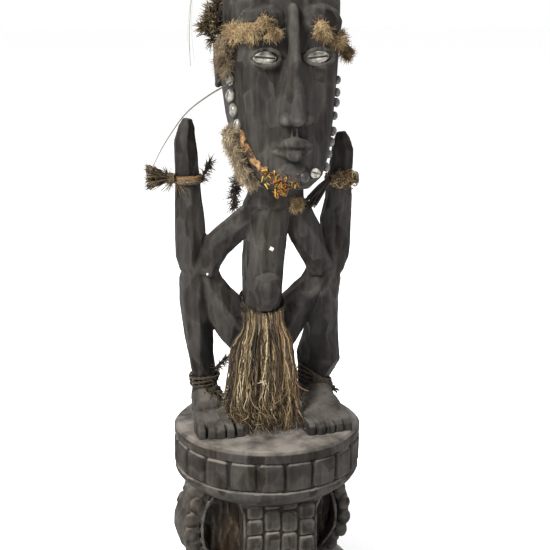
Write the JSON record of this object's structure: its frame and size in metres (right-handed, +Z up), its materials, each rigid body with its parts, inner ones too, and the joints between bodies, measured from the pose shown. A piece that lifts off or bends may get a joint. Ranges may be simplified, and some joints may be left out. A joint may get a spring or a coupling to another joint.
{
  "type": "carved ancestor figure",
  "caption": "Squatting carved wooden ancestor figure on a scute-carved drum base, with cowrie eyes, fur trims, cord bands and a raffia skirt.",
  "frame": {"origin": "centre of the base's resting face", "axes": "+Z up; the figure faces -Y; +X is on the viewer's right when it is seen from the front"},
  "size_m": [0.2287, 0.2044, 0.748],
  "materials": {
    "carved_wood": "matt, darkened and dusty, adze marks showing",
    "tree_gum": "dull set tree gum",
    "cowrie_shell": "worn shell, half glossy",
    "tan_fur": "matted animal fur",
    "ochre_gum": "crumbly gum with ochre",
    "dry_seed": "dull seed coat",
    "plant_fibre": "dry frayed plant fibre",
    "dark_fibre": "dark feather quills and twigs",
    "bush_cord": "hand-twisted bush cord",
    "raffia": "dry raffia strands"
  },
  "bodies": {
    "figure": {"lower_disc": "carved_wood", "front_post": "carved_wood", "back_post": "carved_wood", "left_arch": "carved_wood", "right_arch": "carved_wood", "base_core": "carved_wood", "upper_disc": "carved_wood", "leg_left": "carved_wood", "leg_right": "carved_wood", "torso": "carved_wood", "arm_left": "carved_wood", "arm_right": "carved_wood", "head": "carved_wood", "eye_gum_left": "tree_gum", "eye_gum_right": "tree_gum", "eye_shell_left": "cowrie_shell", "eye_shell_right": "cowrie_shell", "brow_fur_left": "tan_fur", "brow_fur_right": "tan_fur", "temple_fur_right": "tan_fur", "cheek_fur_left": "tan_fur", "jaw_fur_left": "tan_fur", "cheek_shells_left": "cowrie_shell", "cheek_shells_right": "cowrie_shell", "jaw_gum": "ochre_gum", "chin_seed": "dry_seed", "chin_shell": "cowrie_shell", "chin_fur": "tan_fur", "temple_tuft": "plant_fibre", "temple_hairs": "dark_fibre", "crown_fibre": "dark_fibre", "long_quill": "dark_fibre", "neck_tuft_left": "dark_fibre", "neck_quills_right": "dark_fibre", "waist_cord": "bush_cord", "ankle_cord_left": "bush_cord", "ankle_knot_left": "bush_cord", "ankle_twigs_left": "dark_fibre", "ankle_cord_right": "bush_cord"},
    "skirt": {"raffia_skirt": "raffia"},
    "wrist_band_left": {"wrist_cord_left": "bush_cord", "wrist_bundle_left": "plant_fibre", "wrist_twigs_left": "dark_fibre"},
    "wrist_band_right": {"wrist_cord_right": "bush_cord", "wrist_knot_right": "raffia"}
  },
  "joints": [
    {"name": "skirt_swing", "type": "hinge", "parent": "figure", "child": "skirt", "pos_m": [-0.008, -0.025, 0.332], "axis": [1, 0, 0], "range_deg": [-40, 0]},
    {"name": "wrist_band_left_slide", "type": "slide", "parent": "figure", "child": "wrist_band_left", "axis": [-0.0487, -0.0244, 0.9985], "range_m": [0, 0.025]},
    {"name": "wrist_band_right_slide", "type": "slide", "parent": "figure", "child": "wrist_band_right", "axis": [0.0604, -0.0604, 0.9963], "range_m": [0, 0.022]}
  ]
}
